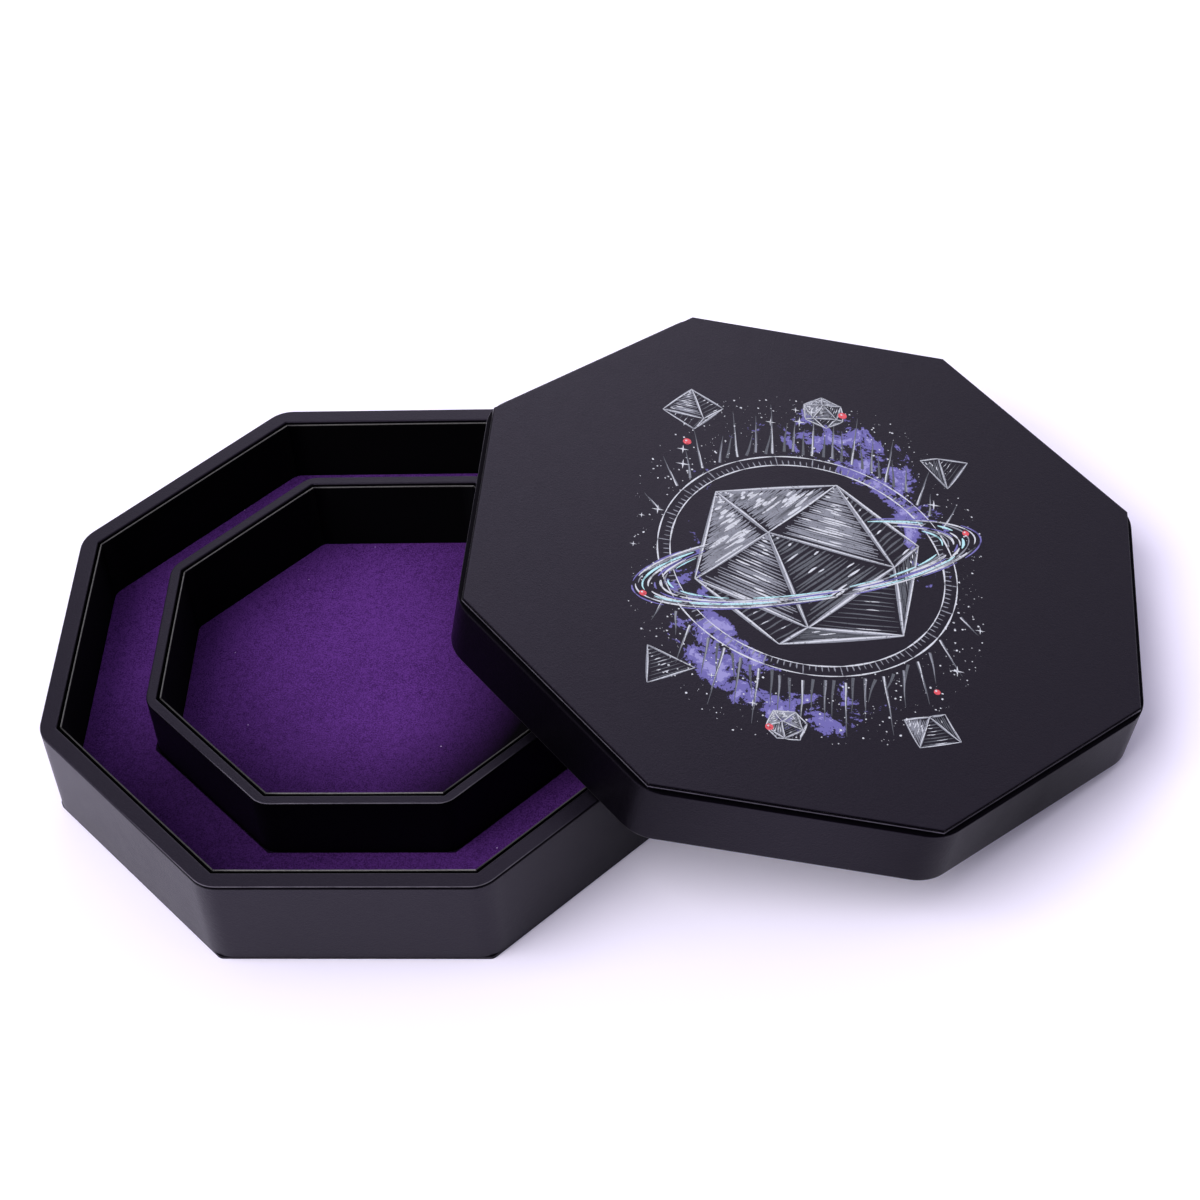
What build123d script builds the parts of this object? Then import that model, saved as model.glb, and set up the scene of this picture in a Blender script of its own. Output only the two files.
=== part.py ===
"""Octagonal dice keeper: a velvet-lined tray with an inner wall, and a lift-off lid that leans on it."""
import math
import os

from build123d import *

# Driving dimensions in millimetres, angles in degrees

# Sheet materials that are used all over the box
leatherette = 0.6
plate_leatherette = 0.4
velvet = 0.6
glue_line = 0.1
wall_board = 6.4
ring_board = 3.4
plate_board = 1.6
liner_board = 0.9
liner_groove = 1.0
floor_clearance = 0.4
turn_in = 16.0
plate_turn_in = 12.0
board_edge_round = 0.5
plate_edge_round = 0.3

# Tray
tray_flats = 282.0
tray_height = 51.0
tray_corner = 15.0
base_inset = 0.5
core_thickness = 8.4
liner_drop = 0.4

# Inner wall, trench and well
ring_flats_share = 0.688
ring_height = 50.2
ring_corner = 11.0
trench_board = 6.3
trench_corner = 8.0
well_card = 1.0
well_corner = 5.0

# Lid
lid_clearance = 1.0
lid_height = 31.7
lid_corner = 20.0
lid_plate_inset = 1.9
lid_shoulder_turn_in = 5.0
lining_card = 1.0
lining_cloth = 0.8

# How the taken-off lid leans on the tray
lid_turn = -2.57
lid_heading = 8.47
lid_place_shares = (1.3153, 0.2301)
seat_gap = 0.1
lean_lowest = 1.0
lean_highest = 40.0
lean_steps = 40

# Octagon
sides = 8
side_angle = 360 / sides
half_angle = side_angle / 2
wedge_reach_share = 1.5
bevel_share = 2 - math.sqrt(2)

# Worked-out sizes
skin = leatherette + glue_line
edge_roll = board_edge_round + skin
plate_thickness = plate_board + 2 * plate_leatherette
wall_thickness = wall_board + 2 * skin
ring_thickness = ring_board + 2 * skin
tray_apothem = tray_flats / 2
rim_inner = tray_apothem - wall_thickness
liner_inner = rim_inner - liner_groove - liner_board
core_top = plate_thickness + core_thickness
ring_apothem = ring_flats_share * tray_apothem
ring_rim_inner = ring_apothem - ring_thickness
ring_liner_inner = ring_rim_inner - liner_groove - liner_board
lid_inner = tray_apothem + lid_clearance
lid_apothem = lid_inner + wall_thickness
lid_wall_height = lid_height - plate_thickness


def octagon(apothem, corner=0):
    """Octagon face with flats square to the X and Y axes, its corners rounded where a radius is given."""
    face = RegularPolygon(apothem, sides, major_radius=False, rotation=half_angle)
    if corner > 0:
        face = fillet(face.vertices(), corner)
    return face


def prism(face, low, high):
    """Upright prism of a face between two heights."""
    return extrude(Pos(0, 0, low) * face, amount=high - low)


def top_face(solid):
    """Highest level face of a solid."""
    return solid.faces().sort_by(Axis.Z)[-1]


def bottom_face(solid):
    """Lowest level face of a solid."""
    return solid.faces().sort_by(Axis.Z)[0]


def both_loops(face):
    """Outer and inner edges of a ring-shaped face."""
    return face.outer_wire().edges() + face.inner_wires()[0].edges()


def around(ring, name):
    """The eight mitred sides of an octagonal ring, as named nodes."""
    box = ring.bounding_box()
    reach = wedge_reach_share * box.max.X
    spread = reach * math.tan(math.radians(half_angle))
    wedge = Polygon((0, 0), (reach, -spread), (reach, spread), align=None)
    side = ring & prism(wedge, box.min.Z, box.max.Z)
    return {f"{name}_{k + 1}": Rot(0, 0, k * side_angle) * side for k in range(sides)}


def wall_ring(apothem, corner, thickness, inset, low, high):
    """Octagonal wall with rounded outer corners, drawn in by an inset on its outer and inner face."""
    outer = octagon(apothem - inset, corner - inset)
    return prism(outer - octagon(apothem - thickness + inset), low, high)


def eased(edges, inset):
    """Edges of a layer under the outer face: rolled on that face, and bevelled to follow the roll beneath it."""
    if inset > 0:
        return chamfer(edges, bevel_share * (edge_roll - inset))
    return fillet(edges, edge_roll)


# Plates: a thin board in leatherette that is turned in on the face that gets glued down

def plate(apothem, turned_up):
    """Board and cover of a plate that lies on the level plane, turned in on its upper or lower face."""
    board_low = plate_leatherette
    board_high = board_low + plate_board
    board = prism(octagon(apothem - plate_leatherette), board_low, board_high)
    opening = octagon(apothem - plate_turn_in)
    if turned_up:
        gap = prism(opening, board_high, plate_thickness)
    else:
        gap = prism(opening, 0, board_low)
    block = prism(octagon(apothem), 0, plate_thickness)
    block = fillet(top_face(block).edges() + bottom_face(block).edges(), plate_edge_round)
    return board, block - board - gap


# Standing walls: mitred boards with a leatherette wrap over the rim, open underneath

def standing_wall(apothem, corner, thickness, low, high):
    """Ring of boards and the wrap of a wall that stands on its open lower edge."""
    layers = []
    for inset in (skin, leatherette, 0):
        ring = wall_ring(apothem, corner, thickness, inset, low, high - inset)
        layers.append(eased(both_loops(top_face(ring)), inset))
    boards, hollow, wrap = layers
    raw_inside = prism(octagon(apothem - leatherette, corner - leatherette), low, high - turn_in)
    return boards, wrap - hollow - raw_inside


def liner_ring(inner, low, high):
    """Ring of thin boards that stands a groove's width inside a wall."""
    return prism(octagon(inner + liner_board) - octagon(inner), low, high)


# Tray: base plate, core, outer wall and its liner

nodes = {}
nodes["base_board"], nodes["base_cover"] = plate(tray_apothem - base_inset, True)
nodes["floor_core"] = prism(octagon(rim_inner + leatherette), plate_thickness, core_top)

tray_boards, tray_wrap = standing_wall(tray_apothem, tray_corner, wall_thickness,
                                       plate_thickness, tray_height)
nodes.update(around(tray_boards, "tray_wall_board"))
nodes["tray_wall_cover"] = tray_wrap
nodes.update(around(liner_ring(liner_inner, core_top, tray_height - liner_drop), "tray_liner_panel"))

# Trench floor between the two walls

trench_face = (octagon(liner_inner - floor_clearance, trench_corner)
               - octagon(ring_apothem + floor_clearance, ring_corner + floor_clearance))
trench_board_top = core_top + trench_board
nodes["trench_floor_board"] = prism(trench_face, core_top, trench_board_top)
nodes["trench_velvet"] = prism(trench_face, trench_board_top, trench_board_top + velvet)

# Inner wall, its liner and the floor of the well

ring_boards, ring_wrap = standing_wall(ring_apothem, ring_corner, ring_thickness,
                                       core_top, ring_height)
nodes.update(around(ring_boards, "ring_wall_board"))
nodes["ring_wall_cover"] = ring_wrap
nodes.update(around(liner_ring(ring_liner_inner, core_top, ring_height - liner_drop), "ring_liner_panel"))

well_face = octagon(ring_liner_inner - floor_clearance, well_corner)
well_card_top = core_top + well_card
nodes["well_floor_card"] = prism(well_face, core_top, well_card_top)
nodes["well_velvet"] = prism(well_face, well_card_top, well_card_top + velvet)

# Lid, drawn level with its lower edge at height zero

def lid_layer(inset, low, high):
    """Skirt ring drawn in by an inset, its shoulder and its lower edge eased to suit."""
    ring = wall_ring(lid_apothem, lid_corner, wall_thickness, inset, low, high)
    ring = eased(top_face(ring).outer_wire().edges(), inset)
    return eased(both_loops(bottom_face(ring)), inset)


lid = {}
lid_boards = lid_layer(skin, skin, lid_wall_height - skin)
lid_hollow = lid_layer(leatherette, leatherette, lid_wall_height - leatherette)
shoulder_gap = octagon(lid_apothem - lid_shoulder_turn_in) - octagon(lid_inner + leatherette)
lid.update(around(lid_boards, "lid_wall_board"))
lid["lid_wall_cover"] = (lid_layer(0, 0, lid_wall_height) - lid_hollow
                         - prism(shoulder_gap, lid_wall_height - skin, lid_wall_height))

top_board, top_cover = plate(lid_apothem - lid_plate_inset, False)
lid["lid_top_board"] = Pos(0, 0, lid_wall_height) * top_board
lid["lid_top_cover"] = Pos(0, 0, lid_wall_height) * top_cover

lining_face = octagon(lid_inner - floor_clearance)
card_low = lid_wall_height - lining_card
lid["lid_lining_card"] = prism(lining_face, card_low, lid_wall_height)
lid["lid_lining_cloth"] = prism(lining_face, card_low - lining_cloth, card_low)


# Lean of the lid: its lowest corner is on the table and its skirt lies across the tray's rim

def lean_turn(tilt):
    """Turn of the lid about its own axis, then its tilt towards its heading."""
    return Rot(0, 0, lid_heading) * Rot(0, tilt, 0) * Rot(0, 0, lid_turn - lid_heading)


def corners(apothem):
    """Corner points of an octagon, counter-clockwise."""
    reach = apothem / math.cos(math.radians(half_angle))
    angles = [math.radians(half_angle + k * side_angle) for k in range(sides)]
    return [Vector(reach * math.cos(angle), reach * math.sin(angle), 0) for angle in angles]


def crossing_heights(loop, other):
    """Heights of a leaning loop of points where, seen from above, it crosses another loop."""
    heights = []
    for start, end in zip(loop, loop[1:] + loop[:1]):
        along = end - start
        for first, last in zip(other, other[1:] + other[:1]):
            edge = last - first
            gap = first - start
            cross = along.X * edge.Y - along.Y * edge.X
            share = (gap.X * edge.Y - gap.Y * edge.X) / cross
            other_share = (gap.X * along.Y - gap.Y * along.X) / cross
            if 0 <= share <= 1 and 0 <= other_share <= 1:
                heights.append(start.Z + share * along.Z)
    return heights


def lid_location(tilt):
    """Place of the lid at a tilt, with the lowest point of its rounded corners on the table."""
    turn = lean_turn(tilt)
    dips = [(turn * Pos(point)).position.Z for point in corners(lid_apothem - lid_corner)]
    drop = min(dips) - lid_corner * math.sin(math.radians(tilt))
    x_share, y_share = lid_place_shares
    return Pos(x_share * tray_apothem, y_share * tray_apothem, seat_gap - drop) * turn


def rim_gap(tilt):
    """Least height of the skirt's lower inner edge over the tray's rim."""
    place = lid_location(tilt)
    loop = [(place * Pos(point)).position for point in corners(lid_inner)]
    return min(crossing_heights(loop, corners(tray_apothem))) - tray_height


low_tilt = lean_lowest
high_tilt = lean_highest
for step in range(lean_steps):
    tilt = (low_tilt + high_tilt) / 2
    if rim_gap(tilt) < seat_gap:
        low_tilt = tilt
    else:
        high_tilt = tilt

place = lid_location(high_tilt)
nodes.update({name: place * solid for name, solid in lid.items()})

os.makedirs("parts", exist_ok=True)
for name, solid in nodes.items():
    export_step(solid, f"parts/{name}.step")
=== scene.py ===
"""Dice keeper box: an octagonal tray lined with velvet, and the lid that leans on its rim."""
import math

import bpy
import numpy as np
from mathutils import Euler, Matrix, Vector


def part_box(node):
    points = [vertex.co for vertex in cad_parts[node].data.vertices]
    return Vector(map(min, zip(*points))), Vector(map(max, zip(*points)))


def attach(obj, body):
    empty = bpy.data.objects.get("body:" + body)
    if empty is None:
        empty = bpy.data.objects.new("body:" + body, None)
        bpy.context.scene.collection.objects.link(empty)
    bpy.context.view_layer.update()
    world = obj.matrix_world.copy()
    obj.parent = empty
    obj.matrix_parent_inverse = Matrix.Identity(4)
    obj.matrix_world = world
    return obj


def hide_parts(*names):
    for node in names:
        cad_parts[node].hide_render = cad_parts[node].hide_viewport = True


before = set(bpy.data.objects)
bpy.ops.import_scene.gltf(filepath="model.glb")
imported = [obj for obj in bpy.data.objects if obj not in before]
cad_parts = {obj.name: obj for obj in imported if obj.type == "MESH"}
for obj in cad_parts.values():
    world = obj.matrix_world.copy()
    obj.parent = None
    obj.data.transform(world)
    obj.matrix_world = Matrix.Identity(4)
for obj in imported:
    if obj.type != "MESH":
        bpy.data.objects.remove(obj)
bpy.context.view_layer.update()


# Base plate of the tray
# A thin board in black leatherette that is turned in on its upper face, under the wall.
# It is glued on from below and has sharper corners than the wall.

SIDES = 8
HALF_SIDE = math.pi / SIDES
FLAT_SHARES = np.array((0.01, 0.25, 0.5, 0.75, 0.99))
SUPPORT_SHARE = 0.3
CORNER_STEPS = 8
ROLL_STEPS = 6
ROLL_POINTS = ROLL_STEPS + 3
QUARTER = np.linspace(0, math.pi / 2, ROLL_STEPS + 1)


def length(vectors):
    """Length of each vector."""
    return np.linalg.norm(vectors, axis=-1)


def unit(vectors):
    """Vectors of the same ways and of length one."""
    return vectors / length(vectors)[..., None]


def ways(bearings):
    """Vectors of length one on the plane, at given bearings."""
    return np.stack([np.cos(bearings), np.sin(bearings)], -1)


def turns(count):
    """Bearings that part a full turn evenly."""
    return np.arange(count) * 2 * math.pi / count


def between(first, last, share):
    """Values that lie a share of the way from first to last."""
    return first + (last - first) * share


def rolled_loop(corners, radii, steps=ROLL_STEPS):
    """Closed outline of square corners, each rolled to its radius: a quarter circle about the point one
    radius along both edges, with a point more on each edge just past it."""
    corners = np.array(corners, float)
    radii = np.array(radii, float)[:, None, None]
    back = unit(np.roll(corners, 1, axis=0) - corners)[:, None]
    ahead = unit(np.roll(corners, -1, axis=0) - corners)[:, None]
    turn = np.linspace(0, math.pi / 2, steps + 1)[:, None]
    middle = corners[:, None] + radii * (back + ahead)
    arcs = middle - radii * (back * np.sin(turn) + ahead * np.cos(turn))
    before = arcs[:, :1] + SUPPORT_SHARE * radii * back
    after = arcs[:, -1:] + SUPPORT_SHARE * radii * ahead
    return np.concatenate([before, arcs, after], axis=1).reshape(-1, 2)


def octagon_rows(apothems, corner_radii, heights):
    """Points round octagons, a row for each apothem and height: a corner is an arc about a centre on the
    corner's bisector, and a flat is the straight run between two arcs."""
    corner_radii = np.broadcast_to(corner_radii, apothems.shape)
    facing = turns(SIDES)
    heading = facing[:, None] + np.linspace(0, 2 * HALF_SIDE, CORNER_STEPS + 1)
    reach = (apothems - corner_radii) / math.cos(HALF_SIDE)
    middles = reach[:, None, None] * ways(facing + HALF_SIDE)
    arcs = corner_radii[:, None, None, None] * ways(heading) + middles[:, :, None]
    starts = np.roll(arcs, 1, axis=1)[:, :, -1:]
    runs = between(starts, arcs[:, :, :1], FLAT_SHARES[:, None])
    rows = np.concatenate([runs, arcs], axis=2).reshape(len(apothems), -1, 2)
    levels = np.broadcast_to(heights[:, None, None], rows.shape[:2] + (1,))
    return np.concatenate([rows, levels], axis=2)


def new_object(name, data):
    """New object of the scene, at the origin."""
    made = bpy.data.objects.new(name, data)
    bpy.context.scene.collection.objects.link(made)
    return made


def mesh_piece(name, points, faces, material, smooth=True):
    """Object of points and faces in one material."""
    mesh = bpy.data.meshes.new(name)
    mesh.from_pydata(np.reshape(points, (-1, 3)).tolist(), [], faces)
    if smooth:
        mesh.shade_smooth()
    mesh.materials.append(material)
    return new_object(name, mesh)


def quads(*corners):
    """Four-sided faces from the numbers of their four corners."""
    return np.stack(corners, -1).reshape(-1, 4)


def skin_piece(name, points, looped, material):
    """Grid of points (rows, columns) joined into four-sided faces, closed round the columns. The rows close
    into a loop too, or else a cap fills the first and the last one."""
    numbers = np.arange(points[..., 0].size).reshape(points.shape[:2])
    lower, upper = numbers, np.roll(numbers, -1, axis=0)
    if not looped:
        lower, upper = lower[:-1], upper[:-1]
    faces = quads(lower, np.roll(lower, -1, axis=1), np.roll(upper, -1, axis=1), upper).tolist()
    if not looped:
        faces += [numbers[0, ::-1].tolist(), numbers[-1].tolist()]
    return mesh_piece(name, points, faces, material)


def ramp(values, span):
    """Values from 0 at the start of a span to 1 at its end."""
    return np.clip((values - span[0]) / (span[1] - span[0]), 0, 1)


def within(values, span):
    """Where values lie inside a span."""
    return (values > span[0]) & (values < span[1])


def put_layer(piece, name, values, kind="FLOAT", field="value"):
    """Named attribute of a piece, with a value for each of its points."""
    layer = piece.data.attributes.new(name, kind, "POINT")
    layer.data.foreach_set(field, values.astype(np.float32).ravel())


def put_values(piece, grid, **layers):
    """Named numbers of a piece, for all points of its grid or for whole rows of it."""
    for name, values in layers.items():
        put_layer(piece, name, np.broadcast_to(values, grid.shape[:-1]))


def fill(tree, node, values):
    """Sockets of a node by their names, each set to a value or linked to another socket."""
    for key, value in values.items():
        if isinstance(value, bpy.types.NodeSocket):
            tree.links.new(value, node.inputs[key])
        else:
            node.inputs[key].default_value = value
    return node


def add(tree, kind, values=None, **settings):
    """New shader node of a kind, with its settings made and its sockets filled."""
    made = tree.nodes.new("ShaderNode" + kind)
    for key, value in settings.items():
        setattr(made, key, value)
    return fill(tree, made, values or {})


def maths(tree, operation, *terms, **settings):
    """Result of a sum on values or sockets."""
    return add(tree, "Math", dict(enumerate(terms)), operation=operation, **settings).outputs[0]


def remap(tree, value, given, wanted=(0.0, 1.0), **settings):
    """Value moved from the given range to the wanted one, and kept inside it."""
    ends = {"From Min": given[0], "From Max": given[1], "To Min": wanted[0], "To Max": wanted[1]}
    return add(tree, "MapRange", {"Value": value, **ends}, **settings).outputs[0]


def noise(tree, place, scale, detail, rough=0.5, warp=0.0):
    """Fractal noise at a place."""
    values = {"Vector": place, "Scale": scale, "Detail": detail, "Roughness": rough, "Distortion": warp}
    return add(tree, "TexNoise", values).outputs["Fac"]


def mixed(tree, share, first, second, blend="MIX"):
    """Colour a share of the way from the first to the second."""
    values = {"Fac": share, "Color1": first, "Color2": second}
    return add(tree, "MixRGB", values, blend_type=blend).outputs["Color"]


def bumped(tree, height, strength, distance, **over):
    """Normal that follows a height, over another Normal where one is given."""
    values = {"Height": height, "Strength": strength, "Distance": distance, **over}
    return add(tree, "Bump", values).outputs["Normal"]


def named(tree, name, output="Fac"):
    """Value of a named attribute."""
    return add(tree, "Attribute", attribute_name=name).outputs[output]


def new_group(name, *results):
    """Empty shader node group from a place to named values, with that place and its end node."""
    group = bpy.data.node_groups.new(name, "ShaderNodeTree")
    group.interface.new_socket("Vector", in_out="INPUT", socket_type="NodeSocketVector")
    for result in results:
        group.interface.new_socket(result, in_out="OUTPUT", socket_type="NodeSocketFloat")
    place = group.nodes.new("NodeGroupInput").outputs["Vector"]
    return group, place, group.nodes.new("NodeGroupOutput")


def new_material(name):
    """Node material with its tree, its Principled shader and the place on the object."""
    made = bpy.data.materials.new(name)
    made.use_nodes = True
    tree = made.node_tree
    place = add(tree, "TexCoord").outputs["Object"]
    return made, tree, tree.nodes["Principled BSDF"], place


def grain_group():
    """Leatherette's embossed grain: small rounded cells with fine pits between them and shallow dimples, a
    slow wave from the board underneath, and a mottled tone."""
    group, place, ends = new_group("leatherette_grain", "Grain", "Wave", "Mottle")
    cells = add(group, "TexVoronoi", {"Vector": place, "Scale": 1500.0}, feature="SMOOTH_F1")
    pits = noise(group, place, scale=4200.0, detail=2.0)
    dimples = noise(group, place, scale=520.0, detail=2.0)
    cells = maths(group, "ADD", cells.outputs["Distance"], pits)
    fill(group, ends, {
        "Grain": maths(group, "MULTIPLY_ADD", dimples, DIMPLE_SHARE, cells),
        "Wave": noise(group, place, scale=38.0, detail=1.0),
        "Mottle": noise(group, place, scale=120.0, detail=5.0, rough=0.65)})
    return group


NOISE_SPAN = (0.3, 0.7)
DIMPLE_SHARE = 0.8
LEATHERETTE_DARK = (0.0013, 0.0010, 0.0019, 1)
# Painted highlight: the pale tone of light lines along rolled edges.
LEATHERETTE_HIGHLIGHT = (0.085, 0.080, 0.095, 1)
LEATHERETTE_TINT = (0.77, 0.65, 1.0, 1)
LEATHERETTE_ROUGH = (0.34, 0.38)
LEATHERETTE_HIGHLIGHT_SMOOTHING = -0.07
# Reflection level: full, and weaker where painted shade is set on the mesh.
LEATHERETTE_SHINE = (0.27, 0.02)
leatherette_grain = grain_group()


def leatherette(name, print_over=None):
    """Black leatherette: grain and wave as bump, paler and smoother along painted highlight lines on its
    rolled edges, reflecting less where painted shade is set, and where it is printed, ink over its tone and
    roughness."""
    made, tree, shader, place = new_material(name)
    grain = add(tree, "Group", {"Vector": place}, node_tree=leatherette_grain).outputs
    # Painted highlight: pale, smoother lines along rolled edges, set point by point on the mesh.
    worn = named(tree, "worn")
    tone = mixed(tree, maths(tree, "MULTIPLY", worn, grain["Mottle"]), LEATHERETTE_DARK, LEATHERETTE_HIGHLIGHT)
    rough = remap(tree, grain["Mottle"], NOISE_SPAN, LEATHERETTE_ROUGH)
    rough = maths(tree, "MULTIPLY_ADD", worn, LEATHERETTE_HIGHLIGHT_SMOOTHING, rough)
    if print_over:
        tone, rough = print_over(tree, tone, rough)
    wave = bumped(tree, grain["Wave"], strength=0.05, distance=0.00025)
    # Painted shade: a weaker reflection where the mesh sets it.
    fill(tree, shader, {
        "Base Color": tone, "Roughness": rough, "Specular Tint": LEATHERETTE_TINT,
        "Normal": bumped(tree, grain["Grain"], strength=0.9, distance=0.00006, Normal=wave),
        "Specular IOR Level": remap(tree, named(tree, "sunk"), (0, 1), LEATHERETTE_SHINE)})
    return made


black_leatherette = leatherette("black_leatherette")

PLATE_SKIN = 0.0004
PLATE_ROLL = 0.0003
PLATE_TURN_IN = 0.012
BASE_CORNER = 0.0035
# Painted marks on a plate's side: a painted highlight band, and painted shade (a weaker reflection) beside
# it.
PLATE_SHADE_SHARE = 0.2
SIDE_SHARES = (0.2, 0.34, 0.40, 0.62, 0.68, 0.85)
HIGHLIGHT_BAND_SHARES = (0.37, 0.65)


def plate_wrap(apothem, corner, low, high, turned_up, roll, lean, wear_and_highlight):
    """Cover of a plate and its marks: the outline runs from the inner cap over the turn-in, a small rolled
    edge and a side that leans in by an angle to the large rolled edge and the outer cap. The side has a
    painted highlight along a band, where the edge would mirror the floor, and painted shade beside it, a
    weaker reflection as if in the groove's shadow. Rows are reversed where the upper face has the turn-in."""
    thick = high - low
    under = thick - PLATE_SKIN
    inner = [(2 * PLATE_TURN_IN, under), (PLATE_SKIN, under), (PLATE_SKIN, PLATE_SKIN),
             (PLATE_TURN_IN, PLATE_SKIN), (PLATE_TURN_IN, 0)]
    lower_roll = PLATE_ROLL * (1 - ways(QUARTER)[:, ::-1])
    side_high = thick - roll + roll * math.sin(lean)
    side_in = (side_high - PLATE_ROLL) * math.tan(lean)
    turn = np.linspace(lean, math.pi / 2, ROLL_STEPS + 1)
    upper_roll = np.stack([side_in + roll * (math.cos(lean) - np.cos(turn)),
                           thick - roll * (1 - np.sin(turn))], -1)
    side = between(lower_roll[-1:], upper_roll[:1], np.array(SIDE_SHARES)[:, None])
    outline = np.concatenate([inner, [(2 * PLATE_ROLL, 0)], lower_roll, side, upper_roll,
                              upper_roll[-1:] + (PLATE_ROLL, 0)])
    inset, rise = outline.T
    climb = (rise - PLATE_ROLL) / (side_high - PLATE_ROLL)
    on_edge = np.arange(len(outline)) > len(inner)
    # Painted highlight band on the side.
    highlight_band = on_edge & within(climb, HIGHLIGHT_BAND_SHARES)
    # Painted shade: the rest of the side reflects less.
    shaded = on_edge & ~highlight_band & (rise < thick - PLATE_SHADE_SHARE * roll)
    rows = octagon_rows(apothem - inset, corner, high - rise if turned_up else low + rise)
    order = -1 if turned_up else 1
    return rows[::order], {"worn": wear_and_highlight * highlight_band[::order, None], "sunk": shaded[::order, None]}


base_low, base_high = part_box("base_cover")
base_points, base_marks = plate_wrap(base_high[0], BASE_CORNER, base_low[2], base_high[2], turned_up=True,
                                     roll=PLATE_ROLL, lean=0, wear_and_highlight=0)
base_wrap = skin_piece("base_wrap", base_points, False, black_leatherette)
put_values(base_wrap, base_points, **base_marks)
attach(base_wrap, "tray")
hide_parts("base_cover")


# Boards inside the tray and the lid
# Fibreboard walls in eight mitred lengths, and greyboard plates and floors.
# All are glued, and show only as thin edges down the grooves.

BOARDS = (
    ("fibreboard_board", (0.16, 0.105, 0.062, 1), (0.24, 0.165, 0.10, 1),
     ("tray_wall_board", "ring_wall_board", "lid_wall_board", "floor_core", "trench_floor_board")),
    ("greyboard_board", (0.11, 0.105, 0.10, 1), (0.20, 0.19, 0.175, 1),
     ("base_board", "well_floor_card", "lid_top_board", "lid_lining_card")),
)


def board(name, dark, pale):
    """Pressed board: short fibres stretched along the sheet over a mottled tone."""
    made, tree, shader, place = new_material(name)
    spread = add(tree, "Mapping", {"Vector": place, "Scale": (1.0, 1.0, 3.0)}).outputs["Vector"]
    fibres = noise(tree, spread, scale=900.0, detail=6.0, rough=0.7, warp=0.8)
    fill(tree, shader, {
        "Base Color": mixed(tree, fibres, dark, pale), "Roughness": 0.85, "Specular IOR Level": 0.2,
        "Normal": bumped(tree, fibres, strength=0.5, distance=0.0001)})
    return made


for board_name, board_dark, board_pale, starts in BOARDS:
    board_paint = board(board_name, board_dark, board_pale)
    for node_name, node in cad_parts.items():
        if node_name.startswith(starts):
            for slot in node.material_slots:
                slot.material = board_paint


# Outer wall of the tray
# Mitred fibreboard under one leatherette strip that is pulled over the rim and turned in behind the liner.
# Its corners are rounded outside and sharp inside, and the rim's two edges are soft rolls.

WALL_THICK = 0.0078
RIM_ROLL = 0.0008
SKIN = 0.0006
TURN_IN = 0.016
TRAY_CORNER = 0.015
INNER_CORNER = 0.0005
CUT_ROLL = 0.0002
WRAP_WAVE = 0.00006
WAVE_NUMBERS = np.array(((61, 23, 0), (-37, 71, 47), (131, -97, 0)))
WAVE_PHASES = (1.3, 0.4, 0)
# Painted marks on a wall strip: a painted highlight on the rim's outer roll in front, a painted shadow line
# below it on the front-right, and painted shade on the outer face, more on the side near the lid.
RIM_HIGHLIGHT = 1.8
RIM_HIGHLIGHT_SIDE = (0.0, -1.0), (0.72, 0.92)
RIM_SHADOW_LINE_SIDE = (0.40, -0.92), (0.3, 0.7)
LID_SIDE = (0.94, -0.34), (0.6, 1.0)
TRAY_LID_SHADE = 0.65
HIGHLIGHT_DROPS = (0.01, 0.2)
FACE_DROPS = (2.0, 1.6)
SHADOW_LINE_DROPS = (0.25, 1.7)


def slow_wave(points, size):
    """Shallow unevenness of what is glued: the mean of three crossing sine waves of the place."""
    return size * np.sin(points @ WAVE_NUMBERS.T + WAVE_PHASES).mean(-1)


def facing_share(points, way, shares):
    """How far points lie to one side of the middle: 0 under the first share, 1 over the second."""
    return ramp(unit(points[..., :2]) @ way, shares)


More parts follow.
